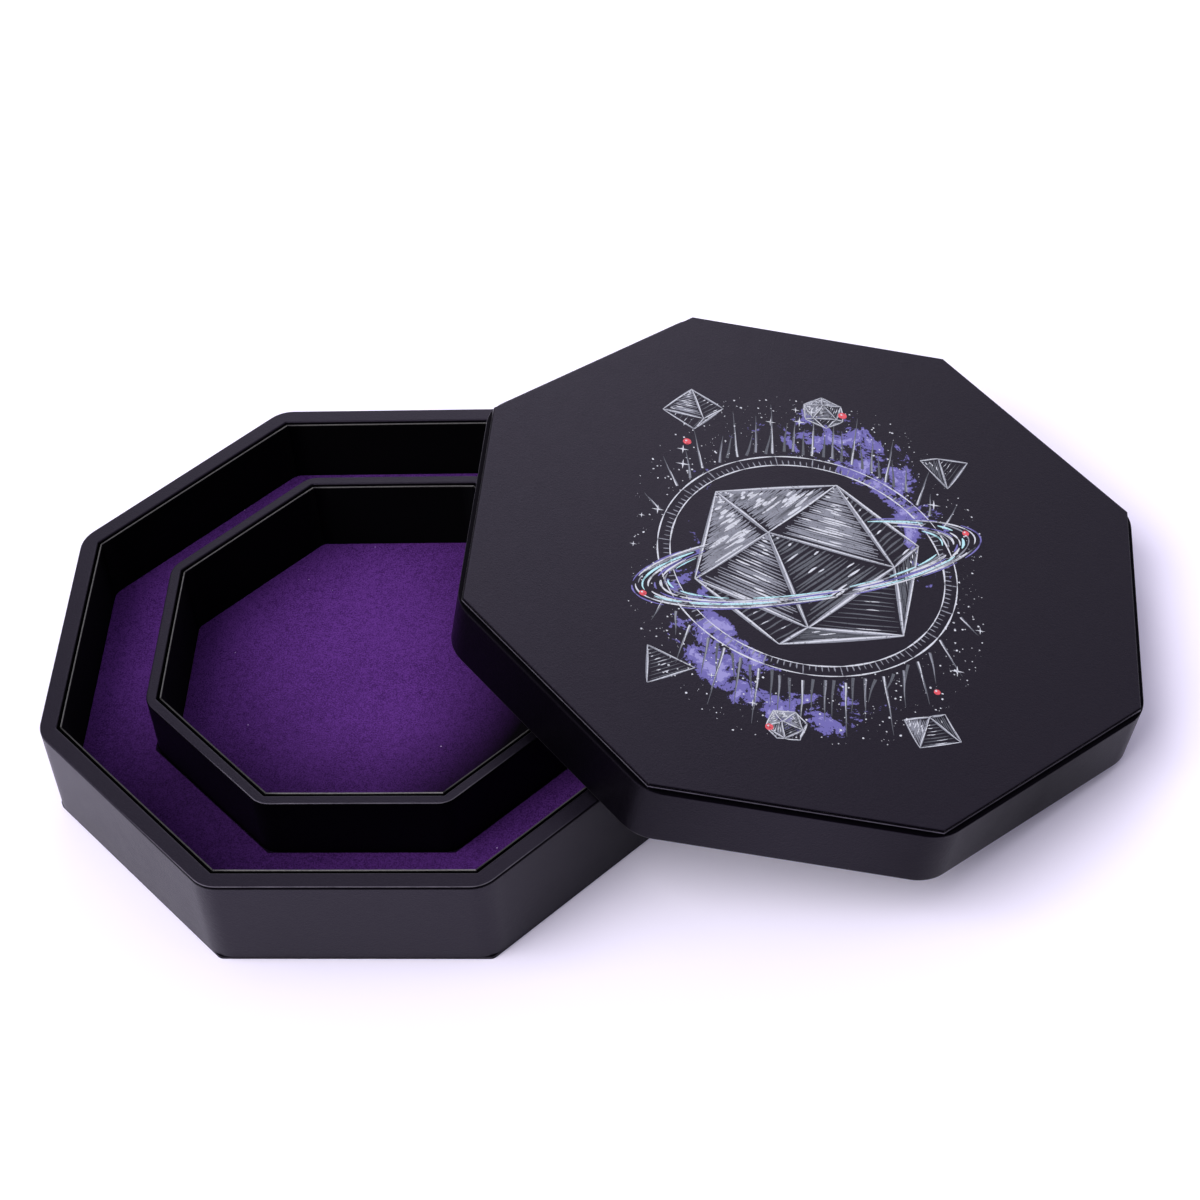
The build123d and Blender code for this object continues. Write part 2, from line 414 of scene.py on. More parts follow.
def wall_wrap(name, apothem, corner, thick, low, high, shaded):
    """Strip over a standing wall: up the outside, across the rim and down the inside, and back one skin
    lower. The corner's radius goes from the outer one to almost none across the wall. The rim has a painted
    highlight in front where its outer roll begins, and a painted shadow line below that on the front-right
    side.
    The outer face has painted shade, a weaker reflection, more on the side near the lid."""
    behind, under, end = thick - SKIN, high - SKIN, high - TURN_IN
    corners = [(0, low), (0, high), (thick, high), (thick, end),
               (behind, end), (behind, under), (SKIN, under), (SKIN, low)]
    radii = [CUT_ROLL, RIM_ROLL, RIM_ROLL, CUT_ROLL, CUT_ROLL, RIM_ROLL - SKIN, RIM_ROLL - SKIN, CUT_ROLL]
    outline = rolled_loop(corners, radii)
    face_rows = [(0, high - drop * RIM_ROLL) for drop in FACE_DROPS]
    inset, level = np.insert(outline, ROLL_POINTS, face_rows, axis=0).T
    corner_radii = between(corner, INNER_CORNER, np.clip(inset / thick, 0, 1))
    points = octagon_rows(apothem - inset, corner_radii, level)
    top = points[..., 2] > high - RIM_ROLL
    points[..., 2] -= np.where(top, np.abs(slow_wave(points, WRAP_WAVE)), 0)
    wrap = skin_piece(name, points, True, black_leatherette)
    drop = (high - level) / RIM_ROLL
    outer_roll = (inset < thick / 2) & (np.arange(len(inset)) < 3 * ROLL_POINTS)
    # Pale rows carry the painted highlight, dark rows the painted shadow line.
    pale, dark = outer_roll & within(drop, HIGHLIGHT_DROPS), outer_roll & within(drop, SHADOW_LINE_DROPS)
    outer_face = (inset < SKIN / 2) & (drop > SHADOW_LINE_DROPS[0])
    worn = RIM_HIGHLIGHT * pale[:, None] * facing_share(points, *RIM_HIGHLIGHT_SIDE)
    line = dark[:, None] * facing_share(points, *RIM_SHADOW_LINE_SIDE)
    # Painted shade on the outer face: a weaker reflection, more on the side near the lid.
    face = outer_face[:, None] * np.maximum(shaded, TRAY_LID_SHADE * facing_share(points, *LID_SIDE))
    put_values(wrap, points, worn=worn, sunk=np.maximum(line, face))
    return wrap


tray_low, tray_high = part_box("tray_wall_cover")
tray_wall_wrap = wall_wrap("tray_wall_wrap", tray_high[0], TRAY_CORNER, WALL_THICK,
                           tray_low[2], tray_high[2], shaded=0)
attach(tray_wall_wrap, "tray")
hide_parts("tray_wall_cover")


# Liner of the outer wall
# Eight thin black boards that stand a groove's width inside the wall, butted at the corners.
# Their cut upper edges show as a fine grey line.

LINER_THICK = 0.0006
LINER_ROLL = 0.0002
LINER_JOINT = 0.00006
LINER_BOW = 0.00012
LINER_STEPS = 12
LINER_ROLL_STEPS = 3
LINER_EDGE_DEPTH = 0.0003
LINER_FACE = (0.0003, 0.00025, 0.0006, 1)
LINER_CUT = (0.160, 0.155, 0.158, 1)
# Painted light: the pale cut edge is brighter or dimmer on each of the eight sides by how light falls there.
LINER_SIDE_LIGHT = (0.5, 0.5, 0.65, 0.65, 0.65, 0.3, 1.0, 0.35)


def liner_material():
    """Black board: nearly dead black faces with a faint paper tooth, grey fibres on the cut edge."""
    made, tree, shader, place = new_material("liner_board")
    tooth = noise(tree, place, scale=1400.0, detail=4.0, rough=0.7)
    fibre = maths(tree, "MULTIPLY", named(tree, "worn"), remap(tree, tooth, (0.25, 0.6), (0.45, 1.0)))
    fill(tree, shader, {
        "Base Color": mixed(tree, fibre, LINER_FACE, LINER_CUT), "Specular IOR Level": 0.06,
        "Roughness": remap(tree, tooth, NOISE_SPAN, (0.72, 0.9)),
        "Normal": bumped(tree, tooth, strength=0.4, distance=0.00005)})
    return made


black_liner = liner_material()


def liner_panels(name, inner, low, high):
    """Eight boards: a rolled rectangle is drawn along each flat between two mitres, the ends moved in by the
    joint's half width, and turned to face the middle from every side. A board bows a little at mid-length,
    and its cut edge is pale, brighter or dimmer on each side by a painted light share."""
    corners = [(0, low), (0, high), (-LINER_THICK, high), (-LINER_THICK, low)]
    outline = rolled_loop(corners, [LINER_ROLL] * 4, LINER_ROLL_STEPS)
    edge = high - LINER_EDGE_DEPTH
    edge_rows = [(0, edge - LINER_ROLL), (0, edge), (-LINER_THICK, edge), (-LINER_THICK, edge - LINER_ROLL)]
    foot, top, top_behind, foot_behind = np.split(outline, 4)
    outline = np.concatenate([foot, edge_rows[:2], top, top_behind, edge_rows[2:], foot_behind])[::-1]
    depth = inner - outline[:, 0]
    along = np.linspace(-1, 1, LINER_STEPS + 1)
    y = (depth * math.tan(HALF_SIDE) - LINER_JOINT)[:, None] * along
    bow = LINER_BOW * (1 - along ** 2) * ((outline[:, 1:] - low) / (high - low))
    x = depth[:, None] + bow
    cosine, sine = ways(turns(SIDES)).T[..., None, None]
    z = np.broadcast_to(outline[:, 1:], (SIDES,) + y.shape)
    points = np.stack([x * cosine - y * sine, x * sine + y * cosine, z], -1)
    numbers = np.arange(z.size).reshape(z.shape)
    ahead = np.roll(numbers, -1, axis=1)
    faces = quads(numbers[..., :-1], numbers[..., 1:], ahead[..., 1:], ahead[..., :-1]).tolist()
    faces += numbers[:, ::-1, 0].tolist() + numbers[:, :, -1].tolist()
    liner = mesh_piece(name, points, faces, black_liner)
    # Pale cut edge, scaled on each side by painted light.
    put_values(liner, points, worn=np.reshape(LINER_SIDE_LIGHT, (-1, 1, 1)) * (z > edge - LINER_ROLL / 2))
    return liner


def side_nodes(name):
    """Names of the eight like nodes round the octagon."""
    return [f"{name}_{k + 1}" for k in range(SIDES)]


liner_low, liner_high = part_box("tray_liner_panel_1")
tray_liner = liner_panels("tray_liner", liner_low[0], liner_low[2], liner_high[2])
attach(tray_liner, "tray")
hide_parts(*side_nodes("tray_liner_panel"))


# Velvet of the trench
# Purple velvet stretched over the floor board between the two walls, glued down, edges wrapped.
# Its short pile lies unevenly, so it is flecked close by and cloudy from afar.

VELVET_ROLL = 0.00028
VELVET_SWELL = 0.00008
SWELL_CLOSENESS = 1.7
TRENCH_CORNER = 0.008
RING_CORNER = 0.011
FLOOR_CLEARANCE = 0.0004
VELVET_ROWS = 24
# Painted shade on the trench velvet: darker at the front, most at the front-left where the outer wall shades
# it, least at the front-right.
TRENCH_SHADE = 0.38
TRENCH_SIDE_SHARE = 0.75
TRENCH_FRONT = (-0.1, 0.65)
# Painted shade: a thin, nearly black strip of the trench velvet at the inner wall, where the gap under the
# wall's rounded corners lies in shadow.
GAP_SHADE_REACHES = (0.00046, 0.00041)
TRIM_EDGE = 0.0004
TRIM_CORNER = 0.0005
GAP_SHADE = 0.03
LINT_REACH = (0.035, 0.06)
LINT_RARITY = 0.86
VELVET_SHADE = (0.028, 0.0060, 0.062, 1)
VELVET_TONE = (0.098, 0.0270, 0.203, 1)
VELVET_TIP = (0.30, 0.15, 0.48, 1)
VELVET_LINT = (0.42, 0.30, 0.55, 1)


def pile_group():
    """Velvet pile: fine tufts, patches where they lean together, wide clouds where the pile lies
    differently, and rare lint.
    """
    group, place, ends = new_group("velvet_pile", "Tuft", "Lean", "Cloud", "Lint")
    lint = add(group, "TexVoronoi", {"Vector": place, "Scale": 170.0}, feature="F1").outputs
    pick = add(group, "SeparateColor", {"Color": lint["Color"]}).outputs[0]
    speck = remap(group, lint["Distance"], LINT_REACH, (1.0, 0.0))
    rare = maths(group, "GREATER_THAN", pick, LINT_RARITY)
    fill(group, ends, {
        "Tuft": noise(group, place, scale=1600.0, detail=3.0, rough=0.75),
        "Lean": noise(group, place, scale=430.0, detail=4.0, rough=0.6, warp=0.6),
        "Cloud": noise(group, place, scale=24.0, detail=3.0, rough=0.55),
        "Lint": maths(group, "MULTIPLY", speck, rare)})
    return group


velvet_pile = pile_group()


def velvet_material():
    """Purple velvet: tone from tufts, leaning patches and clouds, darker by painted shade near walls, under
    the lid and in corner gaps, a soft sheen at the tips, pile as bump."""
    made, tree, shader, place = new_material("purple_velvet")
    pile = add(tree, "Group", {"Vector": place}, node_tree=velvet_pile).outputs
    fine = remap(tree, pile["Tuft"], NOISE_SPAN, (-0.75, 0.75))
    leant = remap(tree, pile["Lean"], NOISE_SPAN, (-0.22, 0.22))
    wide = remap(tree, pile["Cloud"], NOISE_SPAN, (0.5, 0.72))
    level = maths(tree, "ADD", maths(tree, "ADD", fine, leant), wide, use_clamp=True)
    tone = mixed(tree, level, VELVET_SHADE, VELVET_TONE)
    # Painted shade: the tone is multiplied by a shade set point by point on the mesh.
    painted_shade_tone = mixed(tree, 1.0, tone, named(tree, "brushed", "Color"), "MULTIPLY")
    lean_bump = bumped(tree, pile["Lean"], strength=0.25, distance=0.0003)
    fill(tree, shader, {
        "Base Color": mixed(tree, pile["Lint"], painted_shade_tone, VELVET_LINT), "Roughness": 0.95,
        "Normal": bumped(tree, pile["Tuft"], strength=0.5, distance=0.0002, Normal=lean_bump),
        "Specular IOR Level": 0.05, "Sheen Weight": 0.25, "Sheen Roughness": 0.4, "Sheen Tint": VELVET_TIP})
    return made


purple_velvet = velvet_material()


def pile_swell(points, top):
    """Gentle waves in the cloth's upper face; what lies below it stays level."""
    upper = points[..., 2] > top - VELVET_ROLL / 2
    points[..., 2] -= np.where(upper, np.abs(slow_wave(SWELL_CLOSENESS * points, VELVET_SWELL)), 0)
    return points


def smooth_ramp(values, span):
    """Values from 0 at the start of a span to 1 at its end, by an S-shaped rise."""
    share = ramp(values, span)
    return share * share * (3 - 2 * share)


trench_low, trench_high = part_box("trench_velvet")
trench_outer = trench_high[0]
trench_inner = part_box("ring_wall_cover")[1][0] + FLOOR_CLEARANCE
trench_wide = trench_outer - trench_inner
trench_corners = [(0, trench_low[2]), (0, trench_high[2]), (trench_wide, trench_high[2]),
                  (trench_wide, trench_low[2])]
trench_outline = rolled_loop(trench_corners, [VELVET_ROLL] * 4)
rising, falling = np.split(trench_outline, 2)
across = np.linspace(0, 1, VELVET_ROWS + 2)[1:-1, None]
# Rows that give the painted shade strip a crisp edge.
gap_shade_rows = [(trench_wide - reach, trench_high[2]) for reach in GAP_SHADE_REACHES]
trench_outline = np.concatenate([rising, between(rising[-1], falling[0], across), gap_shade_rows, falling])
trench_inset, trench_level = trench_outline.T
trench_gap_shade = trench_inset > trench_wide - sum(GAP_SHADE_REACHES) / 2
trench_radii = np.where(trench_inset > trench_wide - TRIM_EDGE, RING_CORNER + FLOOR_CLEARANCE,
                        between(TRENCH_CORNER, TRIM_CORNER, np.clip(trench_inset / trench_wide, 0, 1)))
trench_points = octagon_rows(trench_outer - trench_inset, trench_radii, trench_level)
trench_points = pile_swell(trench_points, trench_high[2])
trench_cloth = skin_piece("trench_cloth", trench_points, True, purple_velvet)
# Painted shade of the trench velvet, darker towards the front-left.
trench_ways = unit(trench_points[..., :2])
trench_shade = TRENCH_SHADE * (1 - TRENCH_SIDE_SHARE * trench_ways[..., 0])
trench_brushed = 1 - trench_shade * smooth_ramp(-trench_ways[..., 1], TRENCH_FRONT)
put_values(trench_cloth, trench_points, brushed=np.where(trench_gap_shade[:, None], GAP_SHADE, trench_brushed))
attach(trench_cloth, "tray")
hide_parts("trench_velvet")


# Inner wall
# The same mitred boards and leatherette strip as the outer wall, thinner, standing on the floor core.
# It rings the rolling well and is almost as high as the tray's rim.

RING_THICK = 0.0048
# Painted shade: the inner wall's outer face reflects far less, as if in the trench's shadow.
RING_OUTER_SHADE = 0.9
ring_low, ring_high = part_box("ring_wall_cover")
ring_wall_wrap = wall_wrap("ring_wall_wrap", ring_high[0], RING_CORNER, RING_THICK,
                           ring_low[2], ring_high[2], shaded=RING_OUTER_SHADE)
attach(ring_wall_wrap, "tray")
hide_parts("ring_wall_cover")


# Liner of the inner wall
# Eight thin black boards like the outer liner, a groove's width inside the inner wall.

ring_liner_low, ring_liner_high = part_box("ring_liner_panel_1")
ring_liner = liner_panels("ring_liner", ring_liner_low[0], ring_liner_low[2], ring_liner_high[2])
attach(ring_liner, "tray")
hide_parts(*side_nodes("ring_liner_panel"))


# Velvet of the rolling well
# The same purple velvet, glued to a card that drops in between the liner boards.

WELL_CORNER = 0.005
HUB_SHARE = 0.02
# Painted shade on the well velvet: darker towards the rim, most on the right near the lid and at the front,
# a little on the left, lighter at the back.
WELL_SHADE = 0.75
WELL_SHADE_SPAN = (0.1, 1.0)
WELL_ALL, WELL_RIGHT, WELL_SIDES, WELL_BACK = 0.36, 0.6, 0.55, -0.6


def sheet_outline(apothem, foot, level, roll, rows):
    """Reaches and heights of a glued cloth's section: from its foot over a rolled edge, a quarter circle,
    and in rows on one level to a small hub in the middle."""
    dip = math.copysign(roll, level - foot)
    edge = (apothem, level) - (1 - ways(QUARTER)) * (roll, dip)
    reach = (apothem - roll) * np.linspace(1, HUB_SHARE, rows + 1)[1:]
    return np.concatenate([[(apothem, foot)], edge, np.stack([reach, np.full(rows, level)], -1)]).T


well_low, well_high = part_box("well_velvet")
well_reach, well_level = sheet_outline(well_high[0], well_low[2], well_high[2], VELVET_ROLL, VELVET_ROWS)
well_points = octagon_rows(well_reach, WELL_CORNER * well_reach / well_high[0], well_level)
well_points = pile_swell(well_points, well_high[2])
well_cloth = skin_piece("well_cloth", well_points, False, purple_velvet)
# Painted shade of the well velvet, darker towards the rim.
well_far = length(well_points[..., :2]) / well_high[0]
well_x, well_y = np.moveaxis(unit(well_points[..., :2]), -1, 0)
well_side = WELL_ALL + WELL_RIGHT * well_x + WELL_SIDES * np.abs(well_x) + WELL_BACK * well_y
well_shade = WELL_SHADE * well_side * smooth_ramp(well_far, WELL_SHADE_SPAN)
put_values(well_cloth, well_points, brushed=1 - well_shade)
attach(well_cloth, "tray")
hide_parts("well_velvet")


# Skirt of the lid
# Mitred boards in a leatherette strip that is rolled over the lower edge and the shoulder under the top.
# It slips over the tray's wall when the box is shut; here it leans on the rim.

LID_CORNER = 0.020
SHOULDER_ROLL = 0.0007
# Painted marks on the skirt: painted shade on the shoulder roll under the top and on the outer faces, more
# on the diagonal sides, and painted highlight lines on the other rolled edges.
SHOULDER_SHADE_SHARE = 0.4
SHOULDER_TURN_IN = 0.005
SKIRT_SHADE = 0.25
SKIRT_DIAGONAL_SHADE = 0.7
SKIRT_HIGHLIGHT = 0.4


def node_points(name):
    """All points of a node's mesh, in metres."""
    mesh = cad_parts[name].data
    flat = np.empty(len(mesh.vertices) * 3, np.float32)
    mesh.vertices.foreach_get("co", flat)
    return flat.reshape(-1, 3).astype(float)


def lid_axes():
    """Axes of the lid, read from its top board: upright is the way in which the board's points spread least,
    and X is a corner's direction turned back by half a side."""
    points = node_points("lid_top_board")
    middle = (points.max(0) + points.min(0)) / 2
    upright = np.linalg.svd(points - points.mean(0), full_matrices=False)[2][2]
    upright = upright * np.sign(upright[2])
    corner = points[np.argmax(points @ (*ways(HALF_SIDE), 0))] - middle
    corner = unit(corner - upright * (corner @ upright))
    x_axis = corner * math.cos(HALF_SIDE) - np.cross(upright, corner) * math.sin(HALF_SIDE)
    return np.stack([x_axis, np.cross(upright, x_axis), upright]), middle


lid_turn, lid_middle = lid_axes()


def lid_size(name, origin):
    """Apothem, lowest level and highest level of a node on the lid's own axes, from an origin."""
    points = (node_points(name) - origin) @ lid_turn.T
    return np.ptp(points[:, 0]) / 2, points[:, 2].min(), points[:, 2].max()


lid_apothem, skirt_foot, skirt_top = lid_size("lid_wall_cover", lid_middle)
lid_foot = lid_middle + skirt_foot * lid_turn[2]
skirt_high = skirt_top - skirt_foot


def on_lid(points):
    """Points from the lid's own level axes to their place on the leaning lid."""
    return points @ lid_turn + lid_foot


skirt_under, skirt_behind = skirt_high - SKIN, WALL_THICK - SKIN
skirt_corners = [(0, 0), (0, skirt_high), (SHOULDER_TURN_IN, skirt_high), (SHOULDER_TURN_IN, skirt_under),
                 (SKIN, skirt_under), (SKIN, SKIN), (skirt_behind, SKIN), (skirt_behind, skirt_high),
                 (WALL_THICK, skirt_high), (WALL_THICK, 0)]
skirt_radii = [RIM_ROLL, SHOULDER_ROLL, CUT_ROLL, CUT_ROLL, CUT_ROLL, RIM_ROLL - SKIN, RIM_ROLL - SKIN,
               CUT_ROLL, CUT_ROLL, RIM_ROLL]
skirt_inset, skirt_level = rolled_loop(skirt_corners, skirt_radii).T
skirt_corner = between(LID_CORNER, INNER_CORNER, np.clip(skirt_inset / WALL_THICK, 0, 1))
skirt_points = octagon_rows(lid_apothem - skirt_inset, skirt_corner, skirt_level)
lid_wall_wrap = skin_piece("lid_wall_wrap", on_lid(skirt_points), True, black_leatherette)
shoulder_level = np.where(skirt_inset < SHOULDER_TURN_IN, skirt_level, 0)
# Painted shade on the shoulder roll under the top, as if in the groove's shadow.
skirt_sunk = shoulder_level > skirt_high - SHOULDER_SHADE_SHARE * SHOULDER_ROLL
# Painted highlight lines on the other rolled edges, wider on wider rolls.
skirt_crest = np.sin(np.linspace(0, math.pi, ROLL_POINTS))
skirt_worn = SKIRT_HIGHLIGHT * np.outer(skirt_radii, skirt_crest).ravel() / RIM_ROLL
skirt_worn = np.where(shoulder_level > skirt_high - SHOULDER_ROLL, 0, skirt_worn)
# Painted shade on the outer faces, more on the diagonal sides.
skirt_bearing = np.arctan2(skirt_points[..., 1], skirt_points[..., 0])
skirt_shade = SKIRT_SHADE + SKIRT_DIAGONAL_SHADE * np.sin(2 * skirt_bearing) ** 2
put_values(lid_wall_wrap, skirt_points, worn=skirt_worn[:, None],
           sunk=np.where(skirt_sunk[:, None], 1, skirt_shade))
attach(lid_wall_wrap, "lid")
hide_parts("lid_wall_cover")


# Top plate of the lid
# A thin sharp-cornered board in smooth leatherette, set back from the skirt so that a groove runs under it.
# Two arms of violet star cloud are screen-printed straight on the leatherette in a dark and a pale ink.

CLOUD_INK = (0.135, 0.122, 0.36, 1)
CLOUD_INK_PALE = (0.27, 0.255, 0.53, 1)
CLOUD_INNER = (0.040, 0.050)
CLOUD_OUTER = (0.066, 0.08848)
CLOUD_FADE = 0.4
CLOUD_STIPPLE = 0.14
CLOUD_CUT = (0.645, 0.655)
CLOUD_CUT_PALE = (0.735, 0.745)
PRINT_MIDDLE = (0.0, -0.006)
PRINT_HALF = (0.079, 0.106)
ARMS = 2.0
ARM_WIND = 3.2
ARM_START = 0.03
ARM_SHARE = 0.12
INK_MATT = 0.1
TOP_ROLL = 0.0007
TOP_CORNER = 0.0003
TOP_LEAN = 13.0
# Painted highlight on the top plate's side, where its edge would mirror the floor.
TOP_HIGHLIGHT = 1.6


def cloud_print(tree, tone, rough):
    """Spiral of cloud in ink: its arms are the cosine of the bearing times their count, less the wound
    logarithm of the distance. A noise frays them, and a cut at two levels gives the two inks."""
    shift = {"Vector": named(tree, "spot", "Vector"), "Location": (-PRINT_MIDDLE[0], -PRINT_MIDDLE[1], 0)}
    centred = add(tree, "Mapping", shift).outputs["Vector"]
    spot = add(tree, "SeparateXYZ", {"Vector": centred}).outputs
    squeezed = maths(tree, "MULTIPLY", spot["Y"], PRINT_HALF[0] / PRINT_HALF[1])
    plane = add(tree, "CombineXYZ", {"X": spot["X"], "Y": squeezed}).outputs[0]
    far = add(tree, "VectorMath", {0: plane}, operation="LENGTH").outputs["Value"]
    wound = maths(tree, "LOGARITHM", maths(tree, "DIVIDE", far, ARM_START), math.e)
    wound = maths(tree, "MULTIPLY", wound, -ARM_WIND)
    phase = maths(tree, "MULTIPLY_ADD", maths(tree, "ARCTAN2", squeezed, spot["X"]), ARMS, wound)
    inside = remap(tree, far, CLOUD_INNER, (-1.0, 0.0), interpolation_type="SMOOTHSTEP")
    outside = remap(tree, far, CLOUD_OUTER, (0.0, -1.0), interpolation_type="SMOOTHSTEP")
    fray = noise(tree, centred, scale=75.0, detail=12.0, rough=0.7, warp=0.5)
    stipple = noise(tree, centred, scale=620.0, detail=2.0)
    level = maths(tree, "MULTIPLY_ADD", maths(tree, "COSINE", phase), ARM_SHARE, fray)
    level = maths(tree, "MULTIPLY_ADD", stipple, CLOUD_STIPPLE, level)
    level = maths(tree, "MULTIPLY_ADD", maths(tree, "ADD", inside, outside), CLOUD_FADE, level)
    dark, pale = remap(tree, level, CLOUD_CUT), remap(tree, level, CLOUD_CUT_PALE)
    inked = mixed(tree, pale, mixed(tree, dark, tone, CLOUD_INK), CLOUD_INK_PALE)
    return inked, maths(tree, "MULTIPLY_ADD", dark, INK_MATT, rough)


plate_apothem, plate_low, plate_high = lid_size("lid_top_cover", lid_foot)
top_points, top_marks = plate_wrap(plate_apothem, TOP_CORNER, plate_low, plate_high, turned_up=False,
                                   roll=TOP_ROLL, lean=math.radians(TOP_LEAN), wear_and_highlight=TOP_HIGHLIGHT)
lid_top_wrap = skin_piece("lid_top_wrap", on_lid(top_points), False,
                          leatherette("printed_leatherette", cloud_print))
put_values(lid_top_wrap, top_points, **top_marks)
put_layer(lid_top_wrap, "spot", top_points, "FLOAT_VECTOR", "vector")
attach(lid_top_wrap, "lid")
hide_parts("lid_top_cover")


# Line print on the lid
# A twenty-sided die in engraver's hatching inside a graduated ring, with a burst of rays, small dice and
# stars round it and a band of dust across it. Each ink is a film thinner than a hair, one over the other.

INK_LIFT = 0.00003
INK_STEP = 0.0000005
BONE_INK = (0.58, 0.60, 0.66)
SLATE_INK = (0.085, 0.092, 0.112)
MIST_INK = (0.225, 0.235, 0.28)
VIOLET_INK = (0.15, 0.135, 0.40)
ICE_INK = (0.42, 0.70, 0.76)
RED_INK = (0.66, 0.075, 0.10)
STROKE_POINTS = 14
STROKE_ENDS = (0.12, math.pi - 0.12)
STROKE_FULLNESS = 0.6
STROKE_SPREAD = (0.6, 1.2)
WOBBLE_TURN = 5
FULL_TURN = 2 * math.pi
dice = np.random.default_rng(20)
ink_points, ink_faces, ink_tones = [], [], []


def print_shapes(points, faces, tone):
    """Adds flat shapes in one ink to the print, a step over the ink before it, from points about the
    print's middle and the faces among them."""
    flat = np.reshape(points, (-1, 2)) + PRINT_MIDDLE
    lift = np.full((len(flat), 1), plate_high + INK_LIFT + INK_STEP * len(ink_points))
    first = sum(len(part) for part in ink_points)
    ink_points.append(np.concatenate([flat, lift], axis=1))
    ink_faces.extend((faces + first).tolist())
    ink_tones.append(np.broadcast_to((*tone, 1.0), (len(flat), 4)))


def left_of(way):
    """Vectors of the plane turned left by a quarter."""
    return np.stack([-way[..., 1], way[..., 0]], -1)


def print_strokes(paths, widths, tone):
    """Pen strokes: every point of a path is moved half its width to both sides, square to the path."""
    half = np.broadcast_to(widths, paths.shape[:2])[..., None] / 2
    side = left_of(unit(np.gradient(paths, axis=1))) * half
    numbers = np.arange(paths.size).reshape(paths.shape)
    faces = quads(numbers[:, :-1, 0], numbers[:, 1:, 0], numbers[:, 1:, 1], numbers[:, :-1, 1])
    print_shapes(np.stack([paths - side, paths + side], 2), faces, tone)


def print_spots(middles, reaches, tone, lobes, ragged, points_out=0.0):
    """Spots of ink: a ring of points about each middle at a ragged reach, every second one drawn in by the
    share points_out, which makes a star."""
    reach = reaches[:, None] * (1 + ragged * dice.uniform(-1, 1, (len(middles), lobes)))
    reach = reach * np.where(np.arange(lobes) % 2 == 1, 1 - points_out, 1)
    ring = ways(turns(lobes)) * reach[..., None] + middles[:, None]
    print_shapes(ring, np.arange(reach.size).reshape(-1, lobes), tone)


def taper(count, widest):
    """Widths along strokes: thin at both ends, each stroke a little wider or narrower than the next."""
    swell = np.sin(np.linspace(*STROKE_ENDS, STROKE_POINTS)) ** STROKE_FULLNESS
    return widest * swell * dice.uniform(*STROKE_SPREAD, (count, 1))


def straight_strokes(starts, ends, wobble):
    """Paths from starts to ends with a slow sideways wobble."""
    along = np.linspace(0, 1, STROKE_POINTS)[:, None]
    phase = dice.uniform(0, FULL_TURN, (len(starts), 1, 1))
    sway = wobble * left_of(unit(ends - starts))[:, None] * np.sin(WOBBLE_TURN * along + phase)
    return between(starts[:, None], ends[:, None], along) + sway


def print_lines(starts, ends, wobble, widest, tone):
    """Pen strokes from starts to ends, tapered."""
    print_strokes(straight_strokes(starts, ends, wobble), taper(len(starts), widest), tone)


def on_oval(turn, share):
    """Points at given bearings, a share of the way from the print's middle to its oval rim."""
    return ways(turn) * share * PRINT_HALF


DIE_REACH = 0.056
DIE_LIGHT = (-0.5, 0.55, 0.67)
SAME_GAP = 0.01
FACET_LEAST = 0.05
FACET_BRIGHT = 0.5
HATCH_LINES = (14, 32)
HATCH_SHARES = (0.05, 0.95)
HATCH_JITTER = (-0.010, 0.010)
HATCH_TRIM = (0.03, 0.12)
HATCH_WIDTHS = (0.0008, 0.0018)
HATCH_WOBBLE = 0.0002
GLINT_CHANCES = (0.35, 0.95)
GLINT_STARTS = (0.1, 0.5)
GLINT_LENGTHS = (0.1, 0.4)
GLINT_WIDTHS = (0.0006, 0.0014)
GLINT_WOBBLE = 0.0001
EDGE_LINES = ((0.0, 0.0001, 0.0022, MIST_INK), (0.0003, 0.0002, 0.0009, BONE_INK))


